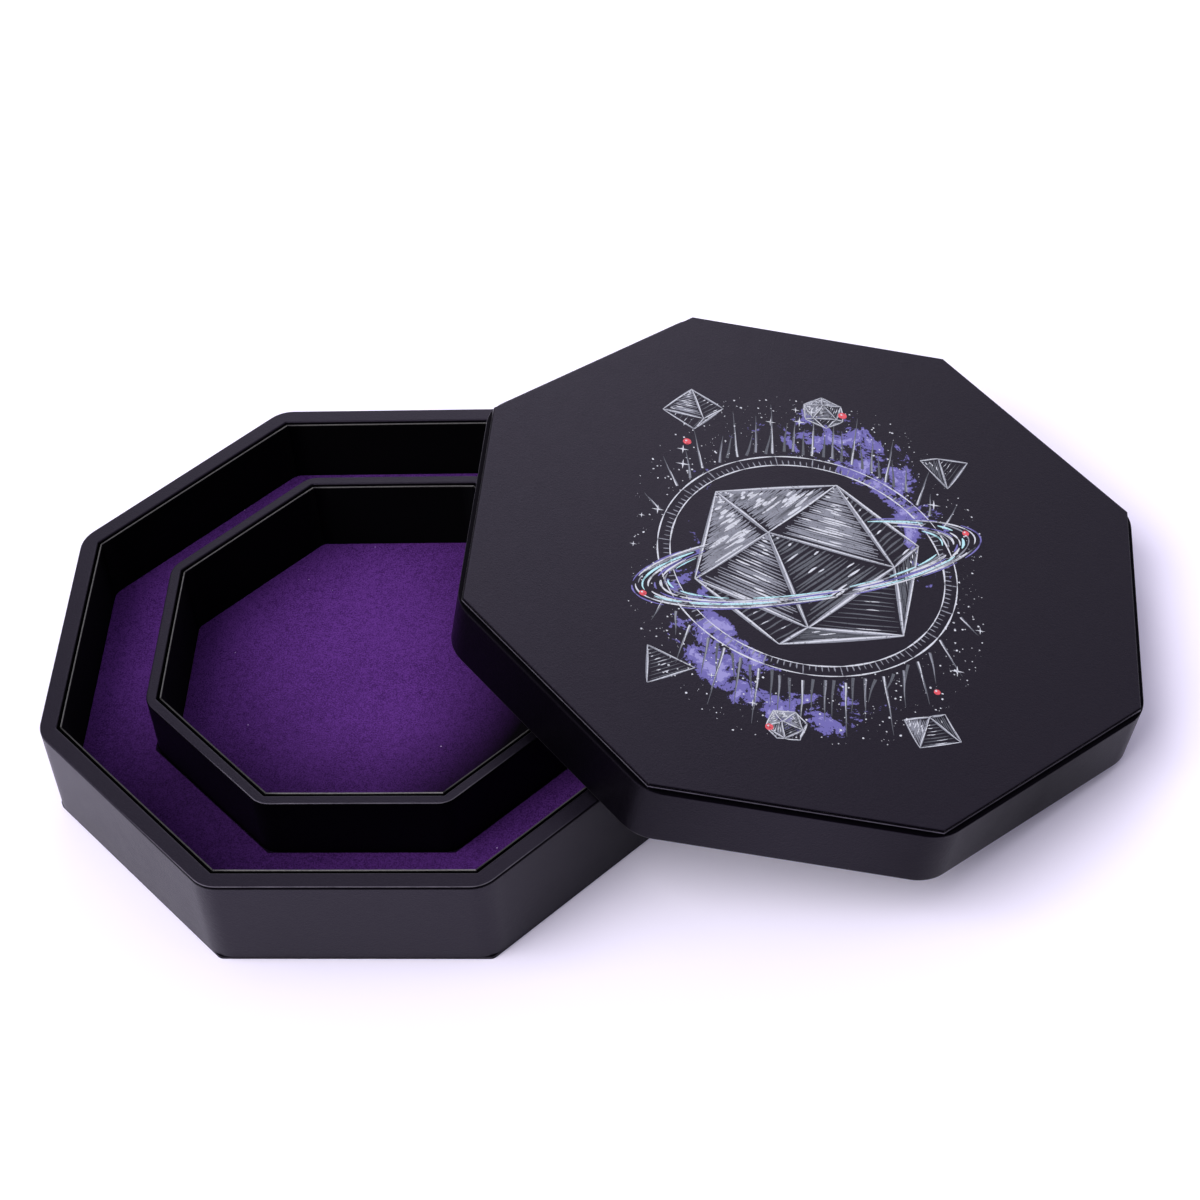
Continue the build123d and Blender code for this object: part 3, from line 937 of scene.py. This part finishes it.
def print_die(corners, tilt, reach, middle):
    """Engraving of a die with three-sided facets: each facet that faces the reader is hatched between the
    edges that meet at its brightest corner, closer and paler the more it faces the light, and pale edges are
    drawn over the hatching."""
    gaps = length(corners[:, None] - corners)
    joined = np.abs(gaps - gaps[gaps > 0].min()) < SAME_GAP
    facets = [(i, j, k) for i in range(len(corners)) for j in range(i) for k in range(j)
              if joined[i, j] and joined[j, k] and joined[i, k]]
    corners = corners @ np.array(Euler(tilt).to_matrix()).T
    corners = corners * reach / length(corners).max()
    light_way = unit(np.array(DIE_LIGHT))
    fine = math.sqrt(reach / DIE_REACH)
    edges = set()
    for facet in facets:
        facet_points = corners[list(facet)]
        out = unit(facet_points.mean(0))
        if out[2] < FACET_LEAST:
            continue
        edges.update(tuple(sorted(pair)) for pair in (facet[:2], facet[1:], facet[::2]))
        lit = max(out @ light_way, 0)
        flat = facet_points[:, :2] + middle
        first, second, third = flat[np.argsort(-flat @ light_way[:2])]
        lines = int(between(*HATCH_LINES, lit) * fine)
        share = np.linspace(*HATCH_SHARES, lines)[:, None] + dice.uniform(*HATCH_JITTER, (lines, 1))
        starts, ends = between(first, second, share), between(first, third, share)
        trim = dice.uniform(*HATCH_TRIM, (2, lines, 1))
        print_lines(between(starts, ends, trim[0]), between(ends, starts, trim[1]), HATCH_WOBBLE * fine,
                    between(*HATCH_WIDTHS, lit) * fine, SLATE_INK if lit < FACET_BRIGHT else MIST_INK)
        bright = dice.random(lines) < between(*GLINT_CHANCES, lit)
        along = (ends - starts)[bright]
        glint = starts[bright] + along * dice.uniform(*GLINT_STARTS, (len(along), 1))
        glint_end = glint + along * dice.uniform(*GLINT_LENGTHS, (len(along), 1))
        print_lines(glint, glint_end, GLINT_WOBBLE, between(*GLINT_WIDTHS, lit) * fine, BONE_INK)
    edge_starts, edge_ends = np.moveaxis(corners[np.array(sorted(edges)), :2] + middle, 1, 0)
    for shift, wobble, wide, tone in EDGE_LINES:
        print_lines(edge_starts + shift * fine, edge_ends + shift * fine, wobble, wide * fine, tone)


RAYS = 96
RAY_JITTER = (-0.012, 0.012)
RAY_NEAR, RAY_NEAR_SPREAD = 1.22, 0.05
RAY_REACHES, RAY_REACH_SPREAD = (0.99, 0.83, 0.90, 0.83), 0.03
RAY_LEAST = 1.12
RAY_TIP = 0.12
RAY_WOBBLE = 0.0002
RAY_INKS = ((1, 0.0014, SLATE_INK, 1.0), (2, 0.0009, MIST_INK, 0.75), (4, 0.0006, BONE_INK, 0.55))
ray_turn = turns(RAYS) + dice.uniform(*RAY_JITTER, RAYS)
ray_far = np.resize(RAY_REACHES, RAYS) + RAY_REACH_SPREAD * dice.uniform(-1, 1, RAYS)
ray_near = (RAY_NEAR + RAY_NEAR_SPREAD * dice.random(RAYS)) * DIE_REACH
ray_start, ray_end = ways(ray_turn) * ray_near[:, None], on_oval(ray_turn, ray_far[:, None])
outward = length(ray_end) > RAY_LEAST * ray_near
for every, wide, tone, reach_share in RAY_INKS:
    shown = outward & (np.arange(RAYS) % every == 0)
    tip = between(ray_start, ray_end, reach_share)
    print_strokes(straight_strokes(ray_start[shown], tip[shown], RAY_WOBBLE),
                  wide * np.linspace(1, RAY_TIP, STROKE_POINTS), tone)

DIAL_MARKS = 144
DIAL_LONG = 6
DIAL_REACHES = (1.10, 1.155, 1.20)
DIAL_WOBBLE = 0.00005
DIAL_MARK_WIDTH = 0.0006
DIAL_RING_WIDTH = 0.0008
DIAL_OVERLAP = 1.1
dial_turn = turns(DIAL_MARKS)
dial_way = ways(dial_turn) * DIE_REACH
dial_end = np.where(np.arange(DIAL_MARKS) % DIAL_LONG == 0, DIAL_REACHES[2], DIAL_REACHES[1])[:, None]
print_lines(dial_way * DIAL_REACHES[0], dial_way * dial_end, DIAL_WOBBLE, DIAL_MARK_WIDTH, MIST_INK)
dial_sweep = np.linspace(0, DIAL_OVERLAP * dial_turn[DIAL_LONG], STROKE_POINTS)
for dial_share in DIAL_REACHES[::2]:
    dial_path = ways(dial_turn[::DIAL_LONG, None] + dial_sweep) * dial_share * DIE_REACH
    print_strokes(dial_path, taper(len(dial_path), DIAL_RING_WIDTH), BONE_INK)

golden = (1 + math.sqrt(5)) / 2
octahedron = np.concatenate([np.eye(3), -np.eye(3)])
tetrahedron = np.array([(1, 1, 1), (1, -1, -1), (-1, 1, -1), (-1, -1, 1)], float)
icosahedron = np.array([(0, y, z) for y in (-1, 1) for z in (-golden, golden)])
icosahedron = np.concatenate([np.roll(icosahedron, shift, axis=1) for shift in range(3)])
DICE = (
    (icosahedron, (0.20, -0.26, 0.30), DIE_REACH, (0.0, 0.0)),
    (octahedron, (0.45, 0.30, 0.25), 0.0150, (-0.057, 0.088)),
    (tetrahedron, (0.30, -0.45, 0.90), 0.0140, (0.061, 0.076)),
    (octahedron, (-0.35, 0.50, 1.10), 0.0135, (0.056, -0.088)),
    (tetrahedron, (0.60, 0.20, 2.10), 0.0145, (-0.060, -0.073)),
    (icosahedron, (0.10, 0.35, 0.70), 0.0105, (0.004, 0.100)),
    (icosahedron, (0.30, 0.15, 1.30), 0.0095, (-0.006, -0.098)),
)
for die in DICE:
    print_die(*die)

DUST_INKS = (ICE_INK, MIST_INK, BONE_INK, VIOLET_INK, BONE_INK)
DUST_STRANDS = 9
DUST_REACH = (0.066, 0.084)
DUST_FLAT_SHARE = 0.27
DUST_TURN = 0.42
DUST_DASHES = 16
DUST_JITTER = (0, 0.3)
DUST_SWEEPS = (0.5, 1.3)
DUST_WANDER, DUST_WAVES = 0.012, 3
DUST_HIDDEN = 0.92
DUST_WIDTH, DUST_WIDTH_SPREAD = 0.0007, 0.0006
dust_axes = ways(np.array((DUST_TURN, DUST_TURN + math.pi / 2)))
for strand in range(DUST_STRANDS):
    reach = between(*DUST_REACH, strand / (DUST_STRANDS - 1))
    begin = turns(DUST_DASHES) + dice.uniform(*DUST_JITTER, DUST_DASHES)
    sweep = turns(DUST_DASHES)[1] * dice.uniform(*DUST_SWEEPS, DUST_DASHES)
    angle = begin[:, None] + sweep[:, None] * np.linspace(0, 1, STROKE_POINTS)
    wander = reach * (1 + DUST_WANDER * np.sin(DUST_WAVES * angle + strand))
    strand_path = wander[..., None] * ways(angle) * (1, DUST_FLAT_SHARE) @ dust_axes
    near = length(strand_path.mean(1)) < DUST_HIDDEN * DIE_REACH
    strand_path = strand_path[~(near & (np.sin(angle.mean(1)) > 0))]
    strand_width = DUST_WIDTH + DUST_WIDTH_SPREAD * dice.random()
    print_strokes(strand_path, taper(len(strand_path), strand_width), DUST_INKS[strand % len(DUST_INKS)])

MOONS = 6
MOON_START = 0.35
MOON_FAR = 0.96
MOON_REACHES = (0.0015, 0.0022)
MOON_GLINT = 0.0005
MOON_GLINT_PLACE = (-0.0005, 0.0006)
moons = on_oval(MOON_START + turns(MOONS), MOON_FAR)
print_spots(moons, dice.uniform(*MOON_REACHES, MOONS), RED_INK, lobes=22, ragged=0.05)
print_spots(moons + MOON_GLINT_PLACE, np.full(MOONS, MOON_GLINT), BONE_INK, lobes=10, ragged=0.1)

STARS = 1900
STAR_FAR = 1.06
STAR_NEAR = 1.2
STAR_REACH, STAR_REACH_SPREAD, STAR_RARITY = 0.00012, 0.00045, 3
stars = dice.uniform(-1, 1, (STARS, 2))
stars = stars[length(stars) < STAR_FAR] * PRINT_HALF
stars = stars[length(stars) > STAR_NEAR * DIE_REACH]
star_reach = STAR_REACH + STAR_REACH_SPREAD * dice.random(len(stars)) ** STAR_RARITY
print_spots(stars, star_reach, BONE_INK, lobes=6, ragged=0.25)

SPARKS = 14
SPARK_SHARES = (0.80, 1.02)
SPARK_REACHES = (0.0016, 0.0034)
spark_turn = dice.uniform(0, FULL_TURN, SPARKS)
sparks = on_oval(spark_turn, dice.uniform(*SPARK_SHARES, SPARKS)[:, None])
print_spots(sparks, dice.uniform(*SPARK_REACHES, SPARKS), BONE_INK, lobes=8, ragged=0.05, points_out=0.82)


def ink_material():
    """Screen ink: tone from the colour attribute, thinned in fine specks where the grain shows."""
    made, tree, shader, place = new_material("screen_ink")
    wear_and_highlight = noise(tree, place, scale=900.0, detail=5.0, rough=0.7)
    thin = remap(tree, wear_and_highlight, (0.56, 0.66), (0.0, 0.8))
    fill(tree, shader, {
        "Base Color": mixed(tree, thin, named(tree, "ink", "Color"), LEATHERETTE_DARK),
        "Roughness": remap(tree, wear_and_highlight, NOISE_SPAN, (0.5, 0.65)), "Specular IOR Level": 0.35})
    return made


lid_print = mesh_piece("lid_print", on_lid(np.concatenate(ink_points)), ink_faces, ink_material(),
                       smooth=False)
put_layer(lid_print, "ink", np.concatenate(ink_tones), "FLOAT_COLOR", "color")
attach(lid_print, "lid")


# Lining of the lid
# Black cloth glued to a card inside the top, seen only when the lid is turned over or lifted.

LINING_ROLL = 0.00035
LINING_CORNER = 0.0012
LINING_ROWS = 10
LINING_DARK = (0.006, 0.0055, 0.007, 1)
LINING_PALE = (0.020, 0.019, 0.023, 1)
LINING_THREADS = 250.0


def lining_material():
    """Plain woven black cloth: two crossing sets of threads along the lid's own axes as tone and bump."""
    made, tree, shader, _ = new_material("black_lining")
    spot = named(tree, "spot", "Vector")
    threads = {"Vector": spot, "Scale": LINING_THREADS, "Distortion": 0.4, "Detail Scale": 2.0}
    warp, weft = [add(tree, "TexWave", threads, bands_direction=axis).outputs["Fac"] for axis in "XY"]
    weave = maths(tree, "MULTIPLY", warp, weft)
    level = maths(tree, "MULTIPLY", weave, noise(tree, spot, scale=700.0, detail=4.0))
    fill(tree, shader, {
        "Base Color": mixed(tree, level, LINING_DARK, LINING_PALE), "Roughness": 0.9,
        "Specular IOR Level": 0.15, "Sheen Weight": 0.1,
        "Normal": bumped(tree, weave, strength=0.5, distance=0.00015)})
    return made


lining_apothem, lining_low, lining_high = lid_size("lid_lining_cloth", lid_foot)
lining_reach, lining_level = sheet_outline(lining_apothem, lining_high, lining_low, LINING_ROLL, LINING_ROWS)
lining_points = octagon_rows(lining_reach, LINING_CORNER * lining_reach / lining_apothem, lining_level)[::-1]
lid_lining = skin_piece("lid_lining", on_lid(lining_points), False, lining_material())
put_layer(lid_lining, "spot", lining_points, "FLOAT_VECTOR", "vector")
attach(lid_lining, "lid")
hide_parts("lid_lining_cloth")


# Floor, studio light and camera
# A pale table, a broad soft key from the front left, weaker lights overhead and behind, and a room that is
# darker on its front and right side.

FLOOR_HALF = 9.0
FLOOR_TONE = (0.895, 0.855, 1.0, 1)
FLOOR_LIFT = 0.075
FLOOR_LIFT_TONE = (0.95, 0.90, 1.25, 1)
FLOOR_LIFT_RAYS = ("Is Glossy Ray", "Is Transmission Ray")
ROOM_TONE = (0.90, 0.87, 1.0, 1)
ROOM_BRIGHT_WAY = (-0.15, 0.85, 0.6)
ROOM_WAYS = (-0.55, 0.6)
ROOM_LEVELS = (0.06, 0.74)
KEY_TONE = (1.0, 0.99, 0.975)
KEY_LEVEL = 2.95
KEY_SPREAD = 58.0
KEY_BEARING = -152.0
KEY_RISE = 46.0
LAMPS = (
    ("overhead_softbox", (-0.5, 0.4, 2.6), (1.6, 1.6), 4.0, (1.0, 0.99, 0.99)),
    ("back_panel", (0.05, 1.75, 1.25), (1.3, 1.1), 8.6, (0.96, 0.95, 1.0)),
)
LAMP_AIM = (0.1, 0.0, 0.03)
CAMERA_PLACE = (0.185254, -0.816487, 0.962389)
CAMERA_HEADING = 5.884
CAMERA_DIP = 47.405
CAMERA_ROLL = -4.805
CAMERA_LENS = 83.67
CAMERA_SENSOR = 36.0

floor_paint, floor_tree, _, _ = new_material("white_table")
floor_tree.nodes.clear()
matt = add(floor_tree, "BsdfDiffuse", {"Color": FLOOR_TONE})
path = add(floor_tree, "LightPath").outputs
seen = path["Is Camera Ray"]
for ray in FLOOR_LIFT_RAYS:
    seen = maths(floor_tree, "MAXIMUM", seen, path[ray])
lift = maths(floor_tree, "MULTIPLY", seen, FLOOR_LIFT)
glow = add(floor_tree, "Emission", {"Color": FLOOR_LIFT_TONE, "Strength": lift})
both = add(floor_tree, "AddShader", {0: matt.outputs[0], 1: glow.outputs[0]})
add(floor_tree, "OutputMaterial", {"Surface": both.outputs[0]})
floor_points = FLOOR_HALF * np.array(((-1, -1, 0), (1, -1, 0), (1, 1, 0), (-1, 1, 0)))
floor = mesh_piece("floor", floor_points, [(0, 1, 2, 3)], floor_paint, smooth=False)

room = bpy.data.worlds.new("room")
room.use_nodes = True
room_tree = room.node_tree
room_way = add(room_tree, "TexCoord").outputs["Generated"]
room_lean = add(room_tree, "VectorMath", {0: room_way, 1: ROOM_BRIGHT_WAY}, operation="DOT_PRODUCT")
room_level = remap(room_tree, room_lean.outputs["Value"], ROOM_WAYS, ROOM_LEVELS,
                   interpolation_type="SMOOTHSTEP")
fill(room_tree, room_tree.nodes["Background"], {"Color": ROOM_TONE, "Strength": room_level})
bpy.context.scene.world = room


def spin(degrees, axis):
    """Turn about an axis."""
    return Matrix.Rotation(math.radians(degrees), 4, axis)


key_light = bpy.data.lights.new("front_left_key", "SUN")
key_light.energy = KEY_LEVEL
key_light.angle = math.radians(KEY_SPREAD)
key_light.color = KEY_TONE
key = new_object("front_left_key", key_light)
key.matrix_world = spin(KEY_BEARING + 90, "Z") @ spin(90 - KEY_RISE, "X")

for lamp_name, lamp_place, lamp_size, lamp_power, lamp_tone in LAMPS:
    light = bpy.data.lights.new(lamp_name, "AREA")
    light.shape = "RECTANGLE"
    light.size, light.size_y = lamp_size
    light.energy = lamp_power
    light.color = lamp_tone
    look = (Vector(LAMP_AIM) - Vector(lamp_place)).to_track_quat("-Z", "Y")
    lamp = new_object(lamp_name, light)
    lamp.matrix_world = Matrix.Translation(lamp_place) @ look.to_matrix().to_4x4()

lens = bpy.data.cameras.new("camera")
lens.lens = CAMERA_LENS
lens.sensor_width = CAMERA_SENSOR
camera = new_object("camera", lens)
camera.matrix_world = (Matrix.Translation(CAMERA_PLACE) @ spin(CAMERA_HEADING, "Z")
                       @ spin(90 - CAMERA_DIP, "X") @ spin(CAMERA_ROLL, "Z"))
bpy.context.scene.camera = camera
bpy.context.scene.view_settings.view_transform = "Standard"
